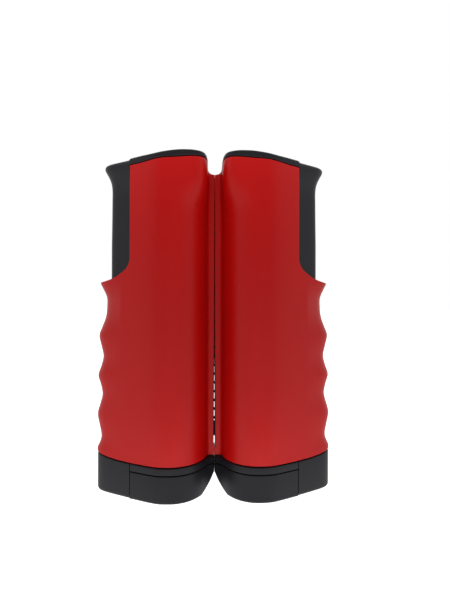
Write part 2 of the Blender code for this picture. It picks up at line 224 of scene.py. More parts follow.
# Thumb slider: its column's and its flange's plan as (u, half depth), the heights over which one flares into
# the other, and its outer end's line as (z, u). Then its foot, and the blocks joined to it by their spans.
COLUMN_U = (46.9, 58.9)
COLUMN_LEVELS = [12.0, 20.0, 60.0, 110.0, 140.0, 155.0]
COLUMN_HOLLOW = [(40.0, 9.3), (46.9, 9.3), (54.8, 4.9), (56.7, 3.2)]
COLUMN_HOLLOW_TOP = 168.0
COLUMN_HALF = [(46.9, 11.2), (52.0, 8.45), (56.6, 5.9), (58.3, 4.5), (58.9, 2.6), (58.9, 0.4)]
FLANGE_HALF = [(46.9, 13.8), (50.0, 12.1), (55.0, 9.4), (59.4, 6.9), (61.6, 4.8), (62.5, 2.4), (62.5, 0.4)]
FLANGE_TIP_U = 62.5
FLANGE_TOP = [(46.9, 185.8), (58.0, 185.1), (61.0, 184.8), (62.5, 184.5)]
FLANGE_ROUND = 1.5
FLANGE_STEPS = 5
FLARE_Z = (164.0, 182.5)
FLARE_TOP = 183.0
FLARE_ROWS = 18
SLIDER_END = [(12.0, 58.7), (138.0, 58.7), (152.0, 58.5), (164.0, 58.4), (171.0, 58.4), (175.5, 59.1)]
SLIDER_END += [(179.0, 60.6), (182.0, 62.3), (183.0, 62.5)]
SLIDER_COLUMNS = 22
FOOT_U = (46.6, 66.8)
FOOT_TOP = 19.35
FOOT_EDGES = (2.4, 0.55)
TONGUE = ((30.0, 48.0), (-8.0, 8.0), (5.0, 9.0))
TONGUE_SLOT = ((29.7, 50.0), (-8.3, 8.3), (4.7, 9.3))
SPRING_TAB = ((39.4, 57.5), (-3.3, 3.3), (113.0, 119.0))
TAB_HOLE_R = 1.8
TAB_HOLE_Z = (100.0, 130.0)

# How far the housing's lower edge and the foot's top bend up towards the nose, as (u, rise). In the housing
# this fades out at the height NOSE_RISE_ENDS.
NOSE_RISE = [(46.0, 0.0), (54.0, 0.25), (60.0, 0.9), (64.0, 1.6), (66.9, 2.4)]
NOSE_RISE_ENDS = 30.0

# Pads, sunk below the jaws' plane in a pocket, with grip ribs between grooves.
PAD_LINE = (8.0, 44.0, 3.0)
PAD_THICKNESS = 1.9
PAD_EDGES = (0.3, 0.3)
PAD_SINK = 0.15
PAD_GLUE = 0.45
POCKET_LINE = (7.7, 44.3, 2.7)
POCKET_EDGES = (0.05, 0.05)
POCKET_OPENS = (10.0, 20.0)
RIB_U = (9.6, 43.2)
RIB_PITCH = 1.8
GROOVE_WIDTH = 0.6
GROOVE_DEPTH = 0.35
GROOVE_REACH = 25.0

# Clamp spring on its rod.
ROD_U = 42.7
ROD_R = 1.5
ROD_FOOT_Z = (17.4, 30.0)
CLAMP_SPRING = {"radius": 2.9, "wire": 0.5, "z": (23.2, 112.3), "turns": 17}
COIL_ANGLE = 60.0

# The net: its hem and tape, the room that they leave before the first and after the last thread, the places
# in plan where it leaves the roll and turns into the run between the posts, the strip that stays halfway
# between them, and half the thickness of its threads and bands.
NET_Z = (30.3, 167.8)
NET_HEM_TOP = 38.8
NET_TAPE_LOW = 156.0
NET_ROOM = (1.8, 1.0)
NET_PITCH = 5.1
NET_PULL = 1700.0
NET_BEND_U = 7.2
NET_LEAVES_ROLL = (12.6, 8.45)
LEAD_UPRIGHTS = (0.3, 0.8)
NET_MIDDLE = 1.0
THREAD = 0.7
BAND = 0.45
HALVINGS = 50

# The wound net's inner and outer radius, its turns with the steps in each, and the angle where it ends.
ROLL_R = (8.3, 13.4)
ROLL_TURNS = 12.6
ROLL_STEPS = 40
ROLL_END = 144.0

# How finely the housing is divided: columns along each stretch of a row, and rows as (low z, high z, count).
LIP_COLUMNS = 10
ROUND_COLUMNS = 26
OUTER_COLUMNS = 34
TOP_ROWS = 16
SHELL_BANDS = [
    (20.15, 21.0, 2),
    (21.0, 112.0, 58),
    (112.0, 118.6, 9),
    (118.8, 122.0, 7),
    (122.0, 136.0, 14),
    (136.0, 170.0, 8),
    (170.0, 178.8, 4),
]

# Screws: the housing's as (u, z), the jaws' and the foot's as (u, y). A stepped hole's heights are its start,
# the head's seat and its end. SCREW_DOME is the head's profile, as (share of radius, height over the seat),
# SCREW_POINT the tip's radius and length, and CROSS the half length and half width of the recess.
SHELL_SCREWS = [(10.4, 26.0), (36.1, 26.0), (10.4, 173.6), (36.1, 173.6)]
JAW_SCREWS = [(24.0, -17.4), (24.0, 17.4)]
FOOT_SCREWS = [(34.5, 0.0), (42.5, 0.0)]
JAW_HOLE_Z = (10.0, 18.7, 24.0)
FOOT_HOLE_Z = (-1.0, 2.2, 6.0)
TONGUE_HOLE_Z = (0.0, 12.0)
SHELL_SCREW_TIP = -7.0
FOOT_SCREW_Z = (2.1, 8.5)
SCREW_SHANK_R = 1.2
SCREW_BITE_R = 1.3
SCREW_HEAD_R = 2.3
SCREW_DOME = [(1.0, 0.0), (1.0, 0.5), (0.93, 0.85), (0.75, 1.1), (0.4, 1.2)]
SCREW_POINT = (0.5, 0.9)
SCREW_PLAY = 0.1
SCREW_SINK = 4.0
CROSS = (1.5, 0.28)
CROSS_DEPTH = 0.7

# Bosses: the front ones hold the screws' ends and stop short of the outer face, the back ones pass the seat.
FRONT_BOSS_R = 2.6
FRONT_BOSS_SHORT = 1.0
FRONT_HOLE_DEPTH = 8.0
BACK_BOSS_R = 3.4
BACK_BOSS_PAST = 1.5
SHELL_HEAD_PLAY = 0.2
JAW_HEAD_PLAY = 0.3

# A cut runs past the face that it opens by OVERSHOOT, or as far as OUTSIDE, which is clear of the post.
OVERSHOOT = 1.0
OUTSIDE = 30.0

# An outline that is moved inward keeps STAND_OFF between points that would fall together, and THINNEST of its
# half depth. At an eased end it moves by EASED of the distance. MITRE keeps its corners from running away.
MITRE = 0.35
STAND_OFF = 0.02
THINNEST = 0.15
EASED = 0.2

# Studio, in metres, watts and degrees. A lamp is (place, target, size, power).
WHITE = (1.0, 1.0, 1.0, 1.0)
FLOOR_R = 8.0
FLOOR_SIDES = 64
FLOOR_Z = -0.048
FLOOR_LOOK = {
    "Base Color": (0.8, 0.8, 0.8, 1.0),
    "Roughness": 0.9,
    "Specular IOR Level": 0.1,
    "Emission Color": WHITE,
}
FLOOR_GLOW = 0.26
FLOOR_SEEN = 0.75
SURROUND = {"From Min": -0.75, "From Max": 0.35, "To Min": 0.18, "To Max": 1.0}
LAMPS = {
    "top": ((0.0, -0.062, 0.225), (0.0, 0.0, 0.16), (0.3, 0.02), 0.05),
    "front": ((0.0, -0.9, 0.14), (0.0, 0.0, 0.1), (0.3, 0.3), 0.8),
    "low": ((0.0, -0.062, 0.006), (0.0, 0.0, 0.04), (0.3, 0.01), 0.03),
}
CAMERA = {"place": (-0.0044, -0.2619, 0.1089), "turn": (90.0, -0.12, -2.3), "lens": 27.0, "sensor": 36.0}

# Moulded materials: two colours that drift into each other, roughness, the grain's scale per metre, its depth
# in millimetres, and specular level. Metals: colour, roughness, and the scale of their fine lines in x, y, z.
PLASTICS = {
    "red_shell": (((0.46, 0.0016, 0.0010), (0.50, 0.0024, 0.0016)), 0.40, 1500.0, 0.02, 0.28),
    "black_plastic": (((0.007, 0.0067, 0.0098), (0.010, 0.0097, 0.0132)), 0.46, 1300.0, 0.03, 0.4),
    "rubber_pad": (((0.016, 0.016, 0.017), (0.024, 0.024, 0.025)), 0.82, 900.0, 0.08, 0.3),
    "roller_plastic": (((0.30, 0.30, 0.31), (0.36, 0.36, 0.37)), 0.5, 1200.0, 0.03, 0.5),
}
STEELS = {
    "bright_steel": ((0.62, 0.62, 0.63), 0.28, (1.0, 1.0, 0.02)),
    "spring_steel": ((0.42, 0.42, 0.44), 0.32, (0.3, 0.3, 1.0)),
    "black_screw": ((0.09, 0.09, 0.095), 0.42, (1.0, 1.0, 1.0)),
}

# Their patterns, as (scale per metre, detail), and FLOW with a stretch. A BUMP is (strength, depth in
# millimetres), GRAIN_BUMP only a strength, and a DRIFT is how far the roughness goes to either side.
FLOW = (38.0, 3.0, (1.0, 1.0, 0.35))
FLOW_RANGE = (-0.4, 1.4)
GRAIN_DETAIL = 3.0
GRAIN_DRIFT = 0.06
GRAIN_BUMP = 0.35
LINES = (1600.0, 2.0)
LINES_DARKER = 0.7
LINES_DRIFT = (0.08, 0.1)
LINES_BUMP = (0.2, 0.02)
CORD_FLECK = (2600.0, 2.0)
CORD_COLOURS = ((0.010, 0.011, 0.014), (0.032, 0.034, 0.040))
CORD_ROUGHNESS = (0.75, 0.95)
CORD_BUMP = (0.6, 0.15)
CORD_SPECULAR = 0.25


def spline_value(a, b, c, d, t):
    """A Catmull-Rom curve through four values, at t from 0 at b to 1 at c."""
    slope, bend, twist = c - a, 2 * a - 5 * b + 4 * c - d, 3 * b - a - 3 * c + d
    return 0.5 * (2 * b + slope * t + bend * t**2 + twist * t**3)


def smooth_line(points, per_span=6):
    """A Catmull-Rom line through the points, with per_span steps between each two."""
    ends = [points[0], *points, points[-1]]
    line = []
    for span in zip(ends, ends[1:], ends[2:], ends[3:]):
        for step in range(per_span):
            line.append(tuple(spline_value(*values, step / per_span) for values in zip(*span)))
    return line + [tuple(points[-1])]


def bezier(start, corner, end, steps):
    """A curved line from start to end that heads for corner first."""
    line = []
    for i in range(steps + 1):
        t = i / steps
        near, middle, far = (1 - t) ** 2, 2 * t * (1 - t), t * t
        line.append(tuple(near * a + middle * b + far * c for a, b, c in zip(start, corner, end)))
    return line


def at(line, x):
    """The second coordinate of a line sorted by its first, read at x."""
    if x <= line[0][0]:
        return line[0][1]
    for (x0, y0), (x1, y1) in zip(line, line[1:]):
        if x <= x1:
            return y0 + (y1 - y0) * (x - x0) / (x1 - x0) if x1 > x0 else y1
    return line[-1][1]


def spread(line, count):
    """count points spaced evenly along a line."""
    lengths = [0.0]
    for p, q in zip(line, line[1:]):
        lengths.append(lengths[-1] + math.dist(p, q))
    picked = []
    span = 0
    for i in range(count):
        goal = lengths[-1] * i / (count - 1)
        while span < len(line) - 2 and lengths[span + 1] < goal:
            span += 1
        part = lengths[span + 1] - lengths[span]
        t = (goal - lengths[span]) / part if part else 0.0
        picked.append(tuple(a + (b - a) * t for a, b in zip(line[span], line[span + 1])))
    return picked


OUTER_LINE = smooth_line(OUTER_SIDE, 8)
GRIP_LINE = smooth_line(GRIP, 6)
WINDOW_LINE = smooth_line(WINDOW_EDGE, 6)
SHELL_TOP_LINE = smooth_line(SHELL_TOP, 6)
CAP_TOP_LINE = smooth_line(CAP_TOP, 6)
BOW_LINE = smooth_line(BOW, 4)
COLUMN_LINE = smooth_line(COLUMN_HALF, 5)
FLANGE_LINE = smooth_line(FLANGE_HALF, 5)
SLIDER_END_LINE = smooth_line(SLIDER_END, 5)
FLANGE_TOP_LINE = smooth_line(FLANGE_TOP, 5)


def half_depth(u):
    """Half depth of the plan section at u."""
    if u < ROLLER_U:
        return ROUND_Y * math.sqrt(max(0.0, 1 - ((ROLLER_U - u) / ROUND_U) ** 2))
    return at(OUTER_LINE, u)


def round_line(y_from, steps=40, power=2.0):
    """The round net side of the section, from half depth y_from to the widest point. It is a quarter ellipse
    at power 2, and squarer above that."""
    start = math.asin(min(1.0, y_from / ROUND_Y) ** (power / 2))
    bend = 2 / power
    line = []
    for i in range(steps):
        angle = start + (math.pi / 2 - start) * i / steps
        line.append((ROLLER_U - ROUND_U * math.cos(angle) ** bend, ROUND_Y * math.sin(angle) ** bend))
    return line + [(ROLLER_U, ROUND_Y)]


def power_at(z):
    """How square the net side's corner is at a height: a plain ellipse, squaring up towards the cap."""
    low, high = CORNER_Z
    return 2.0 + (TOP_POWER - 2.0) * smoothstep((z - low) / (high - low))


def smoothstep(t):
    """The blend's own weight curve, an S from 0 to 1."""
    t = min(1.0, max(0.0, t))
    return t * t * (3 - 2 * t)


def new_object(name, points, faces, side=1, smooth=SHARP_ANGLE):
    """A mesh object from points in post coordinates, facing outward and shaded smooth up to an angle."""
    mesh = bpy.data.meshes.new(name)
    mesh.from_pydata([(side * u * MM, y * MM, z * MM) for u, y, z in points], [], faces)
    shape = bmesh.new()
    shape.from_mesh(mesh)
    bmesh.ops.remove_doubles(shape, verts=shape.verts, dist=1e-6)
    bmesh.ops.dissolve_degenerate(shape, edges=shape.edges, dist=1e-7)
    bmesh.ops.recalc_face_normals(shape, faces=shape.faces)
    shape.to_mesh(mesh)
    shape.free()
    mesh.shade_smooth()
    mesh.set_sharp_from_angle(angle=math.radians(smooth))
    item = bpy.data.objects.new(name, mesh)
    bpy.context.collection.objects.link(item)
    return item


def applied(item):
    """Turns an object's modifiers into its mesh."""
    depsgraph = bpy.context.evaluated_depsgraph_get()
    mesh = bpy.data.meshes.new_from_object(item.evaluated_get(depsgraph))
    item.modifiers.clear()
    item.data = mesh
    return item


def grid_faces(rows, columns):
    """Quads of a grid of rows by columns."""
    return [
        [r * columns + c, r * columns + c + 1, (r + 1) * columns + c + 1, (r + 1) * columns + c]
        for r in range(rows - 1)
        for c in range(columns - 1)
    ]


def gathered(*solids):
    """One list of points and one of faces from several solids."""
    points, faces = [], []
    for solid_points, solid_faces in solids:
        start = len(points)
        points += solid_points
        faces += [[start + i for i in face] for face in solid_faces]
    return points, faces


def pulled_in(outline, distance):
    """A closed anticlockwise outline moved inward by distance."""
    moved = []
    for i, (x, y) in enumerate(outline):
        before, after = outline[i - 1], outline[(i + 1) % len(outline)]
        edge_in = Vector((x - before[0], y - before[1])).normalized()
        edge_out = Vector((after[0] - x, after[1] - y)).normalized()
        normal_in = Vector((-edge_in.y, edge_in.x))
        normal_out = Vector((-edge_out.y, edge_out.x))
        step = (normal_in + normal_out) * distance / max(MITRE, 1 + normal_in.dot(normal_out))
        moved.append((x + step.x, y + step.y))
    return moved


def rounded_rows(low_radius, high_radius, steps=4):
    """(inset, which face, rise) of each row up a wall whose low and high edges are rounded."""
    rows = []
    for i in range(steps + 1):
        a = math.pi / 2 * i / steps
        rows.append((low_radius * (1 - math.sin(a)), 0, low_radius * (1 - math.cos(a))))
    for i in range(steps + 1):
        a = math.pi / 2 * i / steps
        rows.append((high_radius * (1 - math.cos(a)), 1, -high_radius * (1 - math.sin(a))))
    return rows


def inset_half(half, distance, ease=0.0, square=(0, 0)):
    """Half a plan outline moved inward by distance, less so within ease of its inner end. square marks ends
    that stay where they are. The outline never crosses itself: points that would pass an end or the middle
    line stop short of it."""
    moved = []
    for i, (u, y) in enumerate(half):
        left = len(half) - 1 - i
        before, after = half[max(0, i - 1)], half[min(len(half) - 1, i + 1)]
        along = Vector((after[0] - before[0], after[1] - before[1])).normalized()
        share = EASED + (1 - EASED) * smoothstep((u - half[0][0]) / ease) if ease else 1.0
        step = distance * share
        low = half[0][0] + (STAND_OFF * i if square[0] else step)
        high = half[-1][0] - (STAND_OFF * left if square[1] else step)
        stays = (square[0] and i == 0) or (square[1] and left == 0)
        across = u if stays else min(max(u + along.y * step, low), high)
        moved.append((across, max(y - along.x * step, THINNEST * y)))
    return moved


def slab(half, low, high, edges, ease=0.0, square=(0, 0)):
    """A solid over a plan outline that is the same front and back. half runs (u, half depth) outward, low and
    high give the under and upper faces' heights at u, and edges are the radii that round them."""
    rows = []
    for inset, upper, rise in rounded_rows(*edges):
        plan = inset_half(half, inset, ease, square)
        face = high if upper else low
        rows.append([(u, y, face(full) + rise) for (u, y), (full, _) in zip(plan, half)])
    return lofted(rows)


def lofted(rows):
    """A closed solid through rows of (u, half depth, z), each the same front and back."""
    points = []
    for row in rows:
        points += [(u, -y, z) for u, y, z in row] + [(u, y, z) for u, y, z in reversed(row)]
    count = len(rows[0])
    ring = 2 * count
    faces = []
    for r in range(len(rows) - 1):
        for i in range(ring):
            j = (i + 1) % ring
            faces.append([r * ring + i, r * ring + j, (r + 1) * ring + j, (r + 1) * ring + i])
    for start in (0, (len(rows) - 1) * ring):
        for k in range(count - 1):
            faces.append([start + k, start + k + 1, start + ring - 2 - k, start + ring - 1 - k])
    return points, faces


def column_prism(outline, low, high):
    """A closed plan outline pushed up from low to high."""
    count = len(outline)
    points = [(u, y, low) for u, y in outline] + [(u, y, high) for u, y in outline]
    faces = [[i, (i + 1) % count, count + (i + 1) % count, count + i] for i in range(count)]
    return points, faces + [list(range(count))[::-1], list(range(count, 2 * count))]


def block(u, y, z):
    """A plain box from its low and high u, y and z."""
    return column_prism([(u[0], y[0]), (u[1], y[0]), (u[1], y[1]), (u[0], y[1])], *z)


def turned(profile, centre, axis="z", sides=32):
    """A profile of (radius, height) turned about a line along z or y, with flat ends."""
    points = []
    for radius, height in profile:
        for i in range(sides):
            angle = math.tau * i / sides
            a = centre[0] + radius * math.cos(angle)
            b = centre[1] + radius * math.sin(angle)
            points.append((a, b, height) if axis == "z" else (a, height, b))
    faces = []
    for level in range(len(profile) - 1):
        for i in range(sides):
            j = (i + 1) % sides
            low, high = level * sides, (level + 1) * sides
            faces.append([low + i, low + j, high + j, high + i])
    last = (len(profile) - 1) * sides
    return points, faces + [list(range(sides))[::-1], list(range(last, last + sides))]


def coil(centre, spring, steps=20, sides=10):
    """A helical spring about a line along z."""
    low, high = spring["z"]
    count = spring["turns"] * steps
    points, faces = [], []
    for step in range(count + 1):
        angle = math.tau * step / steps
        height = low + (high - low) * step / count
        for side in range(sides):
            turn = math.tau * side / sides
            reach = spring["radius"] + spring["wire"] * math.cos(turn)
            rise = spring["wire"] * math.sin(turn)
            across, back = reach * math.cos(angle), reach * math.sin(angle)
            points.append((centre[0] + across, centre[1] + back, height + rise))
    for step in range(count):
        for side in range(sides):
            near, far, after = step * sides, (step + 1) * sides, (side + 1) % sides
            faces.append([near + side, near + after, far + after, far + side])
    faces += [list(range(sides))[::-1], list(range(count * sides, (count + 1) * sides))]
    return points, faces


# --- Housing ---


def lip_tip(z, facing):
    """How far the lip's tip stands off the plane where the posts meet."""
    if z < WEB_TOP:
        return WEB_GAP
    return at(LIP_GAP_FRONT if facing < 0 else LIP_GAP_BACK, z)


def net_side_points(z, facing, count):
    """The net side of one row: along the lip below the notch, and round the section's closed end above it."""
    power = power_at(z)
    join = round_line(LIP_JOIN_Y, power=power)[0]
    bend = bezier((LIP_BEND_U, LIP_HALF_DEPTH), (LIP_CORNER_U, LIP_HALF_DEPTH), join, LIP_BEND_STEPS)
    lip = spread([(lip_tip(z, facing), LIP_HALF_DEPTH), *bend], count)
    share = at(NOTCH_LINE, z)
    if not share:
        return lip
    closed = spread([p for p in round_line(PARTING, 60, power) if p[1] < LIP_JOIN_Y] + [join], count)
    return [tuple(a + (b - a) * share for a, b in zip(p, q)) for p, q in zip(lip, closed)]


def outer_points(z, count):
    """The outer side of one row: from the widest point to the nose, or above the hook to the window."""
    pull = (at(GRIP_LINE, z) - MORPH_U) / (NOSE_U - MORPH_U)
    line = [(u if u < MORPH_U else MORPH_U + (u - MORPH_U) * pull, y) for u, y in OUTER_LINE]
    if z > HOOK_Z:
        end = at(WINDOW_LINE, z)
        line = [p for p in line if p[0] < end] + [(end, at(line, end))]
    return spread(line, count)


def shell_row(z, facing, z_net=None):
    """The plan of one row of a half housing, from the lip's tip to the nose."""
    z_net = z if z_net is None else z_net
    row = net_side_points(z_net, facing, LIP_COLUMNS)
    row += spread(round_line(LIP_JOIN_Y, power=power_at(z_net)), ROUND_COLUMNS)[1:]
    return row + outer_points(z, OUTER_COLUMNS)[1:]


def nose_rise(u, z):
    """How far a row near the housing's lower edge bends up toward the nose."""
    fade = 1.0 - smoothstep((z - SHELL_BANDS[0][0]) / (NOSE_RISE_ENDS - SHELL_BANDS[0][0]))
    return at(NOSE_RISE, u) * fade


def shell_rows(facing):
    """Every row of a half housing as (u, half depth, z). The last rows fan out to meet the sloping top."""
    levels = []
    for low, high, count in SHELL_BANDS:
        levels += [low + (high - low) * i / count for i in range(count)]
    rows = [[(u, y, z + nose_rise(u, z)) for u, y in shell_row(z, facing)] for z in levels]
    start = SHELL_BANDS[-1][1]
    for step in range(TOP_ROWS + 1):
        share = step / TOP_ROWS
        plan = shell_row(start, facing, start + (NOTCH_LINE[-1][0] - start) * share)
        rows.append([(u, y, start + (at(SHELL_TOP_LINE, u) - start) * share) for u, y in plan])
    return rows


def moulded_wall(item):
    """Gives an open shell the wall's thickness, inward, and rounds its edges."""
    thick = item.modifiers.new("wall", "SOLIDIFY")
    thick.thickness = WALL * MM
    thick.offset = -1.0
    thick.use_even_offset = False
    edge = item.modifiers.new("edge", "BEVEL")
    edge.width = EDGE_ROUND * MM
    edge.segments = 3
    edge.limit_method = "ANGLE"
    edge.angle_limit = math.radians(EDGE_ANGLE)
    applied(item)


def front_boss(spot):
    """The boss in the front half at a screw, and the blind hole that the screw bites into."""
    wall = min(half_depth(spot[0] - FRONT_BOSS_R), half_depth(spot[0] + FRONT_BOSS_R))
    boss = turned([(FRONT_BOSS_R, -PARTING), (FRONT_BOSS_R, -wall + FRONT_BOSS_SHORT)], spot, "y")
    hole = turned([(SCREW_SHANK_R, OVERSHOOT), (SCREW_SHANK_R, -FRONT_HOLE_DEPTH)], spot, "y", 24)
    return boss, hole


def back_boss(spot):
    """The boss in the back half at a screw, and the stepped hole that takes the screw's shank and head."""
    seat = screw_seat(spot[0])
    boss = turned([(BACK_BOSS_R, PARTING), (BACK_BOSS_R, seat + BACK_BOSS_PAST)], spot, "y")
    head_r = SCREW_HEAD_R + SHELL_HEAD_PLAY
    step = [(SCREW_SHANK_R, -OVERSHOOT), (SCREW_SHANK_R, seat), (head_r, seat), (head_r, OUTSIDE)]
    return boss, turned(step, spot, "y", 40)


def housing(label, facing, material):
    """One half of the red housing, with the bosses that its screws run in. The left post's is the right
    post's mirrored."""
    rows = shell_rows(facing)
    points = [(u, facing * y, z) for row in rows for u, y, z in row]
    word = "front" if facing < 0 else "back"
    item = new_object(f"{label}_{word}_housing", points, grid_faces(len(rows), len(rows[0])))
    face_outward(item)
    moulded_wall(item)
    bosses, holes = zip(*[front_boss(spot) if facing < 0 else back_boss(spot) for spot in SHELL_SCREWS])
    combine(item, gathered(*bosses), SIDES["right"], "UNION")
    combine(item, gathered(*holes), SIDES["right"], "DIFFERENCE")
    if label == "left":
        item.data.transform(Matrix.Scale(-1.0, 4, (1.0, 0.0, 0.0)))
        item.data.flip_normals()
    return dress(item, f"{label}_post", material, "red_shell", f"{label}_{word}_shell")


def screw_seat(u):
    """Depth of the seat that a back screw's head stands on."""
    return half_depth(u) - SCREW_SINK


def combine(item, solid, side, operation):
    """Adds a closed solid to an object's mesh, or cuts it away."""
    tool = new_object("tool", *solid, side)
    step = item.modifiers.new("combine", "BOOLEAN")
    step.operation = operation
    step.solver = "EXACT"
    step.object = tool
    applied(item)
    item.data.set_sharp_from_angle(angle=math.radians(SHARP_ANGLE))
    bpy.data.objects.remove(tool)


def face_outward(item):
    """Turns an open shell's faces so that they look away from the right roller's axis."""
    mesh = item.data
    centre = Vector((ROLLER_U * MM, 0.0, 0.0))
    total = 0.0
    for face in mesh.polygons:
        away = face.center - centre
        away.z = 0.0
        total += away.dot(face.normal) * face.area
    if total < 0:
        mesh.flip_normals()


def dress(item, body, material, slot, *nodes):
    """Gives a piece its material and body, and hides the CAD nodes it stands for."""
    item.data.materials.clear()
    item.data.materials.append(material)
    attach(item, body)
    if nodes:
        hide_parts(*nodes)
    return item


# --- Clamp and cap ---


def half_line(low, high, count=40, power=2.0):
    """The plan section between two u values as (u, half depth)."""
    line = [p for p in round_line(0.0, 60, power) if p[0] < min(high, ROLLER_U)]
    line += [p for p in OUTER_LINE if ROLLER_U <= p[0] < high]
    line.append((high, half_depth(high)))
    inner = [p for p in line if p[0] > low + 0.05]
    return spread([(low, at(line, low)), *inner], count)


def inner_line(low, high, inset):
    """The plan section moved inward all round, for rims and recesses."""
    half = half_line(ROLLER_U - ROUND_U, INNER_END_U, 90)
    outline = [(u, -y) for u, y in half] + half[::-1]
    moved = sorted((u, y) for u, y in pulled_in(outline, inset) if y > 0)
    inside = [p for p in moved if low < p[0] < high]
    return [(low, at(moved, low)), *inside, (high, at(moved, high))]


def jaw_line(tip):
    """A jaw's plan: a nose in line with the lips that flares smoothly into the ellipse."""
    nose = smooth_line([(tip + u, y) for u, y in JAW_TIP_ROUND] + JAW_NOSE, 4)
    return spread(nose + half_line(JAW_NOSE_ENDS, JAW_OUTER_U, 60)[1:], 72)


def top_cap(label, material):
    """The sloping black cap, with its collar inside the housing and the socket for the roller's shaft."""
    side = SIDES[label]
    line = half_line(*CAP_U, 56, TOP_POWER)
    plate = slab(line, lambda u: at(SHELL_TOP_LINE, u) + CAP_GAP, lambda u: at(CAP_TOP_LINE, u), CAP_EDGES)
    item = new_object(f"{label}_cap", *plate, side)
    combine(item, cap_inner(CAP_COLLAR), side, "UNION")
    combine(item, cap_inner(CAP_HOLLOW), side, "DIFFERENCE")
    combine(item, tube_solid(SOCKET_R, SOCKET_Z), side, "UNION")
    combine(item, tube_solid(SHAFT_R + BORE_PLAY, SHAFT_HEAD_Z), side, "DIFFERENCE")
    return dress(item, f"{label}_post", material, "black_plastic", f"{label}_top_cap")


def cap_inner(shape):
    """A solid within the housing's top, up to a height over its sloping edge."""

    def top(u):
        return at(SHELL_TOP_LINE, u) + shape["over"]

    return slab(inner_line(*shape["line"]), lambda u: shape["bottom"], top, shape["edges"])


def tube_solid(radius, z, u=ROLLER_U):
    """An upright cylinder in the middle of the post's depth, on the roller's axis unless u says otherwise."""
    return turned([(radius, z[0]), (radius, z[1])], (u, 0.0))


def pad_recess(low, high):
    """The pocket that a jaw's pad sits in."""
    return slab(inner_line(*POCKET_LINE), lambda u: low, lambda u: high, POCKET_EDGES)


def upper_jaw(label, material):
    """The fixed jaw under the housing, with its locating rim and pad pocket."""
    side = SIDES[label]
    line = jaw_line(JAW_TIP[1])
    plate = slab(line, lambda u: JAW_PLANE + GROOVE, lambda u: JAW_TOP, UPPER_JAW_EDGES, square=(0, 1))
    item = new_object(f"{label}_fixed_jaw", *plate, side)
    rim = slab(inner_line(*RIM_LINE), lambda u: RIM_Z[0], lambda u: RIM_Z[1], RIM_EDGES)
    combine(item, rim, side, "UNION")
    combine(item, pad_recess(POCKET_OPENS[0], JAW_PLANE + PAD_THICKNESS), side, "DIFFERENCE")
    holes = [stepped_hole(spot, *JAW_HOLE_Z) for spot in JAW_SCREWS]
    holes.append(tube_solid(ROD_R + BORE_PLAY, ROD_FOOT_Z, ROD_U))
    holes.append(tube_solid(SHAFT_R + BORE_PLAY, SHAFT_FOOT_Z))
    combine(item, gathered(*holes), side, "DIFFERENCE")
    return dress(item, f"{label}_post", material, "black_plastic", f"{label}_upper_jaw")


def stepped_hole(spot, low, seat, high):
    """A hole up through a jaw, wide enough for a screw's head as far as its seat."""
    head_r = SCREW_HEAD_R + JAW_HEAD_PLAY
    return turned([(head_r, low), (head_r, seat), (SCREW_BITE_R, seat), (SCREW_BITE_R, high)], spot)


def lower_jaw(label, material):
    """The moving jaw, with its bow rising at the net side, its pad pocket, tongue slot and screw holes."""
    side = SIDES[label]
    line = jaw_line(JAW_TIP[0])
    bow = slab(line, lambda u: at(BOW_LINE, u), lambda u: JAW_PLANE - GROOVE, BOW_EDGES, BOW_EASE, (0, 1))
    item = new_object(f"{label}_moving_jaw", *bow, side)
    combine(item, pad_recess(JAW_PLANE - PAD_THICKNESS, POCKET_OPENS[1]), side, "DIFFERENCE")
    combine(item, block(*TONGUE_SLOT), side, "DIFFERENCE")
    holes = [stepped_hole(spot, *FOOT_HOLE_Z) for spot in FOOT_SCREWS]
    combine(item, gathered(*holes), side, "DIFFERENCE")
    return dress(item, f"{label}_clamp_slider", material, "black_plastic", f"{label}_lower_jaw")


def pad(label, which, facing, material):
    """A rubber pad with fine grip ribs on its working face. facing is +1 when that face looks up."""
    side = SIDES[label]
    face = JAW_PLANE - facing * PAD_SINK
    back = face - facing * (PAD_THICKNESS - PAD_GLUE)
    low, high = sorted((face, back))
    sheet = slab(inner_line(*PAD_LINE), lambda u: low, lambda u: high, PAD_EDGES)
    item = new_object(f"{label}_{which}_grip_pad", *sheet, side)
    cut = sorted((face - facing * GROOVE_DEPTH, face + facing))
    grooves = []
    u = RIB_U[0]
    while u < RIB_U[1]:
        grooves.append(block((u, u + GROOVE_WIDTH), (-GROOVE_REACH, GROOVE_REACH), cut))
        u += RIB_PITCH
    combine(item, gathered(*grooves), side, "DIFFERENCE")
    body = f"{label}_clamp_slider" if which == "lower" else f"{label}_post"
    return dress(item, body, material, "rubber_pad", f"{label}_{which}_pad")


def slider_row(z):
    """The slider's plan at a height, as (u, half depth) from its inner edge to its outer end."""
    share = smoothstep((z - FLARE_Z[0]) / (FLARE_Z[1] - FLARE_Z[0]))
    start, end = COLUMN_U[0], at(SLIDER_END_LINE, z)
    narrow, wide = spread(COLUMN_LINE, SLIDER_COLUMNS), spread(FLANGE_LINE, SLIDER_COLUMNS)
    row = []
    for (u0, y0), (u1, y1) in zip(narrow, wide):
        column = (u0 - start) * (1 - share) / (COLUMN_U[1] - start)
        flange = (u1 - start) * share / (FLANGE_TIP_U - start)
        row.append((start + (end - start) * (column + flange), y0 + (y1 - y0) * share))
    return row


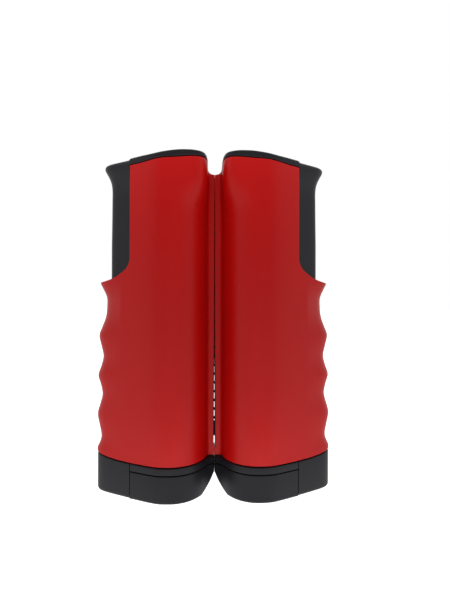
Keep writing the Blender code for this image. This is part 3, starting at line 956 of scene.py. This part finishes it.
def slider_solid():
    """The slider's column flaring into its thumb flange, as one smooth closed solid."""
    rise = FLARE_TOP - FLARE_Z[0]
    levels = COLUMN_LEVELS + [FLARE_Z[0] + rise * i / FLARE_ROWS for i in range(FLARE_ROWS + 1)]
    rows = [[(u, y, z) for u, y in slider_row(z)] for z in levels]
    top = slider_row(FLARE_TOP)
    for i in range(1, FLANGE_STEPS + 1):
        turn = math.pi / 2 * i / FLANGE_STEPS
        plan = inset_half(top, FLANGE_ROUND * (1 - math.cos(turn)), 0.0, (1, 0))
        heights = [FLARE_TOP + (at(FLANGE_TOP_LINE, full) - FLARE_TOP) * math.sin(turn) for full, _ in top]
        rows.append([(u, y, z) for (u, y), z in zip(plan, heights)])
    return lofted(rows)


def slider(label, material):
    """The clamp slider: thumb flange, channel column, spring tab, foot and tongue in one moulding."""
    side = SIDES[label]
    item = new_object(f"{label}_thumb_slider", *slider_solid(), side)
    hollow = [(u, -y) for u, y in COLUMN_HOLLOW] + COLUMN_HOLLOW[::-1]
    combine(item, column_prism(hollow, FOOT_TOP - OVERSHOOT, COLUMN_HOLLOW_TOP), side, "DIFFERENCE")
    line = half_line(*FOOT_U)
    foot = slab(line, lambda u: 0.0, lambda u: FOOT_TOP + at(NOSE_RISE, u), FOOT_EDGES, square=(1, 0))
    for solid in (foot, block(*TONGUE), block(*SPRING_TAB)):
        combine(item, solid, side, "UNION")
    holes = [tube_solid(SCREW_BITE_R, TONGUE_HOLE_Z, u) for u, _ in FOOT_SCREWS]
    holes.append(tube_solid(TAB_HOLE_R, TAB_HOLE_Z, ROD_U))
    combine(item, gathered(*holes), side, "DIFFERENCE")
    return dress(item, f"{label}_clamp_slider", material, "black_plastic", f"{label}_slider")


def clamp_spring(label, material):
    """The compression spring round the rod."""
    item = new_object(f"{label}_clamp_coil", *coil((ROD_U, 0.0), CLAMP_SPRING), SIDES[label], COIL_ANGLE)
    dress(item, f"{label}_post", material, "spring_steel", f"{label}_clamp_spring")
    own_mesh(item)
    return item


def screw(label, name, centre, axis, seat, tip, out, body, material):
    """A pan-head screw with a cross recess. Its head stands on seat, out is the head's direction along axis,
    and tip is the shank's end."""
    side = SIDES[label]
    shank = SCREW_SHANK_R - SCREW_PLAY
    profile = [(SCREW_POINT[0], tip), (shank, tip + out * SCREW_POINT[1]), (shank, seat)]
    profile += [(SCREW_HEAD_R * share, seat + out * rise) for share, rise in SCREW_DOME]
    item = new_object(f"{label}_{name}_detail", *turned(profile, centre, axis), side)
    head = seat + out * SCREW_DOME[-1][1]
    recess = sorted((head - out * CROSS_DEPTH, head + out))
    for wide, deep in (CROSS, CROSS[::-1]):
        a, b = centre
        spans = [(a - wide, a + wide), (b - deep, b + deep)]
        solid = block(spans[0], recess, spans[1]) if axis == "y" else block(*spans, recess)
        combine(item, solid, side, "DIFFERENCE")
    return dress(item, body, material, "black_screw", f"{label}_{name}")


def screws(label, material):
    """The screws that show: four in the back of a post, and two under its clamp slider."""
    for number, spot in enumerate(SHELL_SCREWS, 1):
        name, seat = f"shell_screw_{number}", screw_seat(spot[0]) + SCREW_PLAY
        screw(label, name, spot, "y", seat, SHELL_SCREW_TIP, 1, f"{label}_post", material)
    for number, spot in enumerate(FOOT_SCREWS, 1):
        name = f"foot_screw_{number}"
        screw(label, name, spot, "z", *FOOT_SCREW_Z, -1, f"{label}_clamp_slider", material)


# --- Materials ---


def set_inputs(item, values):
    """Sets a node's own inputs by name."""
    for name, value in values.items():
        item.inputs[name].default_value = value


def node(tree, kind, values):
    """A new shader node with its inputs set."""
    made = tree.nodes.new(kind)
    set_inputs(made, values)
    return made


def noise(tree, scale, detail=2.0, stretch=(1.0, 1.0, 1.0)):
    """A noise pattern fixed to the object, scale per metre, stretched along some axes."""
    where = tree.nodes.new("ShaderNodeTexCoord")
    squeeze = node(tree, "ShaderNodeMapping", {"Scale": stretch})
    tree.links.new(where.outputs["Object"], squeeze.inputs["Vector"])
    pattern = node(tree, "ShaderNodeTexNoise", {"Scale": scale, "Detail": detail})
    tree.links.new(squeeze.outputs["Vector"], pattern.inputs["Vector"])
    return pattern.outputs["Fac"]


def ramp(tree, source, low, high):
    """A source from 0 to 1 mapped to a range."""
    mapped = node(tree, "ShaderNodeMapRange", {"To Min": low, "To Max": high})
    tree.links.new(source, mapped.inputs["Value"])
    return mapped.outputs["Result"]


def mixed(tree, source, first, second):
    """A colour between two, by a source from 0 to 1."""
    mix = tree.nodes.new("ShaderNodeMix")
    mix.data_type = "RGBA"
    mix.inputs[6].default_value = (*first, 1.0)
    mix.inputs[7].default_value = (*second, 1.0)
    tree.links.new(source, mix.inputs[0])
    return mix.outputs[2]


def surface(name, metallic=0.0, specular=0.5):
    """A new material's node tree, shader and the material."""
    material = bpy.data.materials.new(name)
    material.use_nodes = True
    tree = material.node_tree
    shader = tree.nodes["Principled BSDF"]
    set_inputs(shader, {"Metallic": metallic, "Specular IOR Level": specular})
    return material, tree, shader


def bumped(tree, shader, height, strength, depth):
    """Roughens a surface by a height pattern up to depth in millimetres."""
    bump = node(tree, "ShaderNodeBump", {"Strength": strength, "Distance": depth * MM})
    tree.links.new(height, bump.inputs["Height"])
    tree.links.new(bump.outputs["Normal"], shader.inputs["Normal"])


def moulded(name, colours, roughness, grain, depth, specular):
    """Satin moulded plastic: faint flow marks in the colour, spark-eroded grain in the surface."""
    material, tree, shader = surface(name, specular=specular)
    flow = ramp(tree, noise(tree, *FLOW), *FLOW_RANGE)
    tree.links.new(mixed(tree, flow, *colours), shader.inputs["Base Color"])
    fine = noise(tree, grain, GRAIN_DETAIL)
    drift = ramp(tree, fine, roughness - GRAIN_DRIFT, roughness + GRAIN_DRIFT)
    tree.links.new(drift, shader.inputs["Roughness"])
    bumped(tree, shader, fine, GRAIN_BUMP, depth)
    return material


def metal(name, colour, roughness, stretch):
    """Drawn or plated steel with fine lines along stretch."""
    material, tree, shader = surface(name, metallic=1.0)
    lines = noise(tree, *LINES, stretch)
    darker = tuple(LINES_DARKER * c for c in colour)
    tree.links.new(mixed(tree, lines, darker, colour), shader.inputs["Base Color"])
    drift = ramp(tree, lines, roughness - LINES_DRIFT[0], roughness + LINES_DRIFT[1])
    tree.links.new(drift, shader.inputs["Roughness"])
    bumped(tree, shader, lines, *LINES_BUMP)
    return material


def netting(name):
    """Dark knitted cord with a lighter fleck."""
    material, tree, shader = surface(name, specular=CORD_SPECULAR)
    fleck = noise(tree, *CORD_FLECK)
    tree.links.new(mixed(tree, fleck, *CORD_COLOURS), shader.inputs["Base Color"])
    tree.links.new(ramp(tree, fleck, *CORD_ROUGHNESS), shader.inputs["Roughness"])
    bumped(tree, shader, fleck, *CORD_BUMP)
    return material


def materials():
    """Every material, by the record's slot name."""
    made = {name: moulded(name, *look) for name, look in PLASTICS.items()}
    made.update({name: metal(name, *look) for name, look in STEELS.items()})
    made["net_cloth"] = netting("net_cloth")
    return made


# --- Net ---


def rolled_net(label, material):
    """The wound net as one long sheet in a spiral."""
    steps = int(ROLL_TURNS * ROLL_STEPS)
    points = []
    for i in range(steps + 1):
        share = i / steps
        angle = math.radians(ROLL_END) - math.tau * ROLL_TURNS * (1 - share)
        radius = ROLL_R[0] + (ROLL_R[1] - ROLL_R[0]) * share
        u, y = ROLLER_U + radius * math.cos(angle), radius * math.sin(angle)
        points += [(u, y, NET_Z[0]), (u, y, NET_Z[1])]
    faces = [[2 * i, 2 * i + 2, 2 * i + 3, 2 * i + 1] for i in range(steps)]
    item = new_object(f"{label}_wound_net", points, faces, SIDES[label])
    return dress(item, f"{label}_net_roller", material, "net_cloth", f"{label}_net_roll")


def bar(ends, half_thick, z):
    """A flat band between two places (u, y) in plan, over a span of heights."""
    (u0, y0), (u1, y1) = ends
    along = Vector((u1 - u0, y1 - y0)).normalized()
    across = Vector((-along.y, along.x)) * half_thick
    outline = [(u0 - across.x, y0 - across.y), (u1 - across.x, y1 - across.y)]
    outline += [(u1 + across.x, y1 + across.y), (u0 + across.x, y0 + across.y)]
    return column_prism(outline, *z)


def net_rows():
    """The net's level members from the hem to the tape, as (lowest z, highest z, half thickness)."""
    rows = [(NET_Z[0], NET_HEM_TOP, BAND)]
    z = NET_HEM_TOP + NET_ROOM[0]
    while z < NET_TAPE_LOW - NET_ROOM[1]:
        rows.append((z - THREAD, z + THREAD, THREAD))
        z += NET_PITCH
    return rows + [(NET_TAPE_LOW, NET_Z[1], BAND)]


def level_rows(ends):
    """The level threads, hem and tape between two places in plan."""
    return [bar(ends, half_thick, (low, high)) for low, high, half_thick in net_rows()]


def net_lead(label, material):
    """The net between the roll and the slot in the lips."""
    start, end = NET_LEAVES_ROLL, (NET_BEND_U, 0.0)
    solids = level_rows((start, end))
    for share in LEAD_UPRIGHTS:
        u, y = (a + (b - a) * share for a, b in zip(start, end))
        solids.append(block((u - THREAD, u + THREAD), (y - THREAD, y + THREAD), NET_Z))
    item = new_object(f"{label}_net_lead", *gathered(*solids), SIDES[label])
    return dress(item, f"{label}_post", material, "net_cloth")


def rest_u(drawn):
    """Where a thread lies at rest on its half net, to stand this far from its post when drawn right out."""
    low, high = NET_MIDDLE, NET_BEND_U
    for _ in range(HALVINGS):
        u = (low + high) / 2
        travel = NET_PULL * smoothstep((NET_BEND_U - u) / (2 * (NET_BEND_U - NET_MIDDLE)))
        if NET_BEND_U - u + travel < drawn:
            high = u
        else:
            low = u
    return (low + high) / 2


def net_run(label, material):
    """Half of the free net. It lies gathered between the posts."""
    side = SIDES[label]
    solids = level_rows(((NET_MIDDLE, 0.0), (NET_BEND_U, 0.0)))
    reach = NET_PULL / 2 + NET_BEND_U
    count = round(reach / NET_PITCH)
    for k in range(count):
        drawn = reach * (k + 0.5) / count
        far, near = rest_u(drawn + THREAD), rest_u(drawn - THREAD)
        solids.append(block((far, near), (-THREAD, THREAD), NET_Z))
    item = new_object(f"{label}_net_run", *gathered(*solids), side)
    item.data.materials.append(material)
    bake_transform(item)
    return item


def net_middle(material):
    """The strip of net that shows between the lips, which stays halfway between the posts."""
    solids = level_rows(((-NET_MIDDLE, 0.0), (NET_MIDDLE, 0.0)))
    item = new_object("net_middle", *gathered(*solids))
    item.data.materials.append(material)
    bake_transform(item)
    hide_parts("net_span")
    return item


def net(made):
    """The whole net: each half's roll, lead and run, and the strip between them."""
    middle = net_middle(made["net_cloth"])
    for label in SIDES:
        lead = net_lead(label, made["net_cloth"])
        run = net_run(label, made["net_cloth"])
        roll = rolled_net(label, made["net_cloth"])


# --- Studio ---


def camera_ray_value(tree, light, direct):
    """A strength that is direct where the camera looks straight at it, and light in what it sheds."""
    seen = tree.nodes.new("ShaderNodeLightPath")
    pick = node(tree, "ShaderNodeMix", {"B": direct})
    tree.links.new(seen.outputs["Is Camera Ray"], pick.inputs["Factor"])
    if isinstance(light, float):
        pick.inputs["A"].default_value = light
    else:
        tree.links.new(light, pick.inputs["A"])
    return pick.outputs["Result"]


def studio():
    """A pale floor, a white surround that is dimmer on the camera's side, and soft lights."""
    mesh = bpy.data.meshes.new("floor")
    shape = bmesh.new()
    bmesh.ops.create_circle(shape, cap_ends=True, radius=FLOOR_R, segments=FLOOR_SIDES)
    shape.to_mesh(mesh)
    shape.free()
    floor = bpy.data.objects.new("floor", mesh)
    floor.location.z = FLOOR_Z
    bpy.context.collection.objects.link(floor)
    material, tree, shader = surface("pale_floor")
    set_inputs(shader, FLOOR_LOOK)
    tree.links.new(camera_ray_value(tree, FLOOR_GLOW, FLOOR_SEEN), shader.inputs["Emission Strength"])
    mesh.materials.append(material)
    surround()
    for name, (place, target, size, power) in LAMPS.items():
        area_light(name, place, target, size, power)


def surround():
    """The world: plain white behind the object, and dimmer towards the front in the light it sheds."""
    world = bpy.data.worlds.new("studio")
    bpy.context.scene.world = world
    world.use_nodes = True
    tree = world.node_tree
    direction = tree.nodes.new("ShaderNodeTexCoord")
    split = tree.nodes.new("ShaderNodeSeparateXYZ")
    tree.links.new(direction.outputs["Generated"], split.inputs["Vector"])
    graded = node(tree, "ShaderNodeMapRange", SURROUND)
    tree.links.new(split.outputs["Y"], graded.inputs["Value"])
    background = tree.nodes["Background"]
    set_inputs(background, {"Color": WHITE})
    tree.links.new(camera_ray_value(tree, graded.outputs["Result"], 1.0), background.inputs["Strength"])


def area_light(name, place, target, size, power):
    """A soft rectangular light at place, turned to target."""
    data = bpy.data.lights.new(name, "AREA")
    data.shape = "RECTANGLE"
    data.size, data.size_y = size
    data.energy = power
    lamp = bpy.data.objects.new(name, data)
    lamp.location = place
    lamp.rotation_euler = (Vector(target) - Vector(place)).to_track_quat("-Z", "Y").to_euler()
    lamp.visible_camera = False
    lamp.visible_glossy = False
    bpy.context.collection.objects.link(lamp)


def camera():
    """The camera, level, close to the posts and nearly straight on."""
    data = bpy.data.cameras.new("camera")
    data.lens = CAMERA["lens"]
    data.sensor_width = CAMERA["sensor"]
    item = bpy.data.objects.new("camera", data)
    item.location = CAMERA["place"]
    item.rotation_euler = [math.radians(angle) for angle in CAMERA["turn"]]
    bpy.context.collection.objects.link(item)
    bpy.context.scene.camera = item


def repaint(frame, made):
    """Gives the CAD nodes that stay on show their finished materials."""
    for entry in frame["record"]["subparts"]:
        item = frame["nodes"][entry["node"]]
        item.data.materials.clear()
        item.data.materials.append(made[entry["material_slot"]])


def main():
    """Builds every piece around the loaded frame."""
    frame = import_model()
    made = materials()
    repaint(frame, made)
    for label in SIDES:
        for facing in (-1, 1):
            housing(label, facing, made["red_shell"])
        top_cap(label, made["black_plastic"])
        upper_jaw(label, made["black_plastic"])
        lower_jaw(label, made["black_plastic"])
        slider(label, made["black_plastic"])
        pad(label, "upper", -1, made["rubber_pad"])
        pad(label, "lower", 1, made["rubber_pad"])
        clamp_spring(label, made["spring_steel"])
        screws(label, made["black_screw"])
    net(made)
    studio()
    camera()
    bpy.context.scene.view_settings.view_transform = "Standard"


main()
